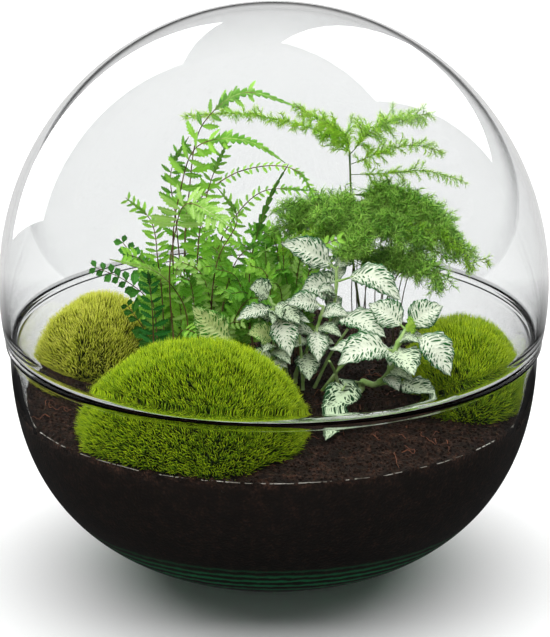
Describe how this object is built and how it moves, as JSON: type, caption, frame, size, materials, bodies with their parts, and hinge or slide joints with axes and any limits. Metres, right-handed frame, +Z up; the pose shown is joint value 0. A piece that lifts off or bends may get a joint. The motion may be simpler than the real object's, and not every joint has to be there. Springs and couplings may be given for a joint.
{
  "type": "glass plant terrarium",
  "caption": "Round glass bowl of soil with moss cushions, ferns, a nerve plant and asparagus fern, closed by a lift-off glass dome.",
  "frame": {"origin": "centre of the flat foot the bowl stands on", "axes": "+Z up along the axis of the bowl and the dome; -Y towards the front, where the large moss cushion lies"},
  "size_m": [0.3, 0.3, 0.3114],
  "materials": {
    "clear_glass": "gloss",
    "potting_soil": "matte",
    "cushion_moss": "matte",
    "fern_leaf": "satin",
    "creeper_leaf": "satin",
    "asparagus_needles": "matte",
    "asparagus_stem": "satin",
    "nerve_plant_leaf": "satin",
    "nerve_plant_stem": "satin"
  },
  "bodies": {
    "root": {"asparagus_cloud_front": "asparagus_needles", "asparagus_cloud_left": "asparagus_needles", "asparagus_cloud_low": "asparagus_needles", "asparagus_cloud_right": "asparagus_needles", "asparagus_spray_back": "asparagus_needles", "asparagus_spray_left": "asparagus_needles", "asparagus_spray_low": "asparagus_needles", "asparagus_spray_middle": "asparagus_needles", "asparagus_spray_top": "asparagus_needles", "asparagus_stem_main": "asparagus_stem", "asparagus_stem_second": "asparagus_stem", "creeper_sprig_left": "creeper_leaf", "creeper_sprig_middle": "creeper_leaf", "creeper_sprig_short": "creeper_leaf", "fern_frond_back": "fern_leaf", "fern_frond_bright": "fern_leaf", "fern_frond_broad": "fern_leaf", "fern_frond_curled": "fern_leaf", "fern_frond_dark": "fern_leaf", "fern_frond_left": "fern_leaf", "fern_frond_low_left": "fern_leaf", "fern_frond_middle": "fern_leaf", "fern_frond_right": "fern_leaf", "fern_frond_tall": "fern_leaf", "fern_frond_upright": "fern_leaf", "glass_bowl": "clear_glass", "glass_dome": "clear_glass", "moss_cushion_back_left": "cushion_moss", "moss_cushion_front": "cushion_moss", "moss_cushion_right": "cushion_moss", "nerve_leaf_01": "nerve_plant_leaf", "nerve_leaf_02": "nerve_plant_leaf", "nerve_leaf_03": "nerve_plant_leaf", "nerve_leaf_04": "nerve_plant_leaf", "nerve_leaf_05": "nerve_plant_leaf", "nerve_leaf_06": "nerve_plant_leaf", "nerve_leaf_07": "nerve_plant_leaf", "nerve_leaf_08": "nerve_plant_leaf", "nerve_leaf_09": "nerve_plant_leaf", "nerve_leaf_10": "nerve_plant_leaf", "nerve_leaf_11": "nerve_plant_leaf", "nerve_leaf_12": "nerve_plant_leaf", "nerve_leaf_13": "nerve_plant_leaf", "nerve_leaf_14": "nerve_plant_leaf", "nerve_leaf_15": "nerve_plant_leaf", "nerve_leaf_16": "nerve_plant_leaf", "nerve_leaf_17": "nerve_plant_leaf", "nerve_leaf_18": "nerve_plant_leaf", "nerve_leaf_19": "nerve_plant_leaf", "nerve_leaf_20": "nerve_plant_leaf", "nerve_leaf_21": "nerve_plant_leaf", "nerve_leaf_22": "nerve_plant_leaf", "nerve_leaf_23": "nerve_plant_leaf", "nerve_stem_edge": "nerve_plant_stem", "nerve_stem_left": "nerve_plant_stem", "nerve_stem_middle": "nerve_plant_stem", "nerve_stem_short": "nerve_plant_stem", "nerve_stem_tall": "nerve_plant_stem", "nerve_stem_thick": "nerve_plant_stem", "soil": "potting_soil"}
  },
  "joints": []
}
